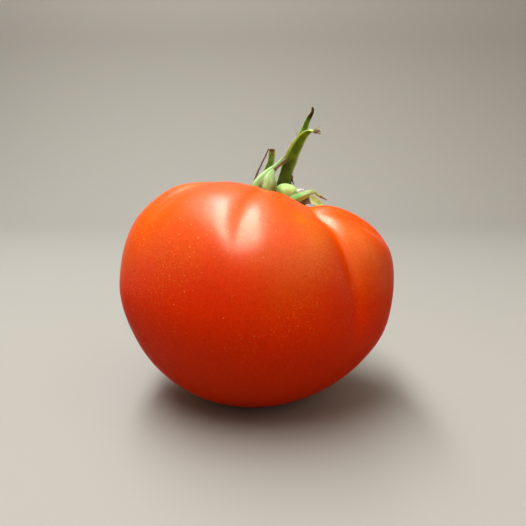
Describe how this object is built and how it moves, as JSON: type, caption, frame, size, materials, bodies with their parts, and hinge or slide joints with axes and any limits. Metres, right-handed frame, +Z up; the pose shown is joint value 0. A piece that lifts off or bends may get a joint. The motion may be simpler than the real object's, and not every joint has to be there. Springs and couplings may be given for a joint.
{
  "type": "tomato",
  "caption": "Large ribbed slicing tomato, one solid lopsided fruit with a stem hollow, carrying a green calyx of upright and curling sepals and a broken stem stub.",
  "frame": {"origin": "under the middle of the whole object, on the surface that it stands on", "axes": "+Z up from the surface to the tip of the tallest sepal, +X towards the side that the stem end leans to, +Y to the back"},
  "size_m": [0.0824, 0.0822, 0.0901],
  "materials": {
    "skin": "satin",
    "stem": "matte",
    "sepal": "matte",
    "sepal_dry": "matte"
  },
  "bodies": {
    "root": {"fruit": "skin", "calyx_disc": "stem", "stem_stub": "stem", "sepal_tall_front": "sepal", "sepal_tall_back": "sepal", "sepal_blunt": "sepal", "sepal_withered": "sepal_dry", "sepal_left": "sepal", "sepal_claw": "sepal", "sepal_arched": "sepal", "sepal_curled": "sepal"}
  },
  "joints": []
}
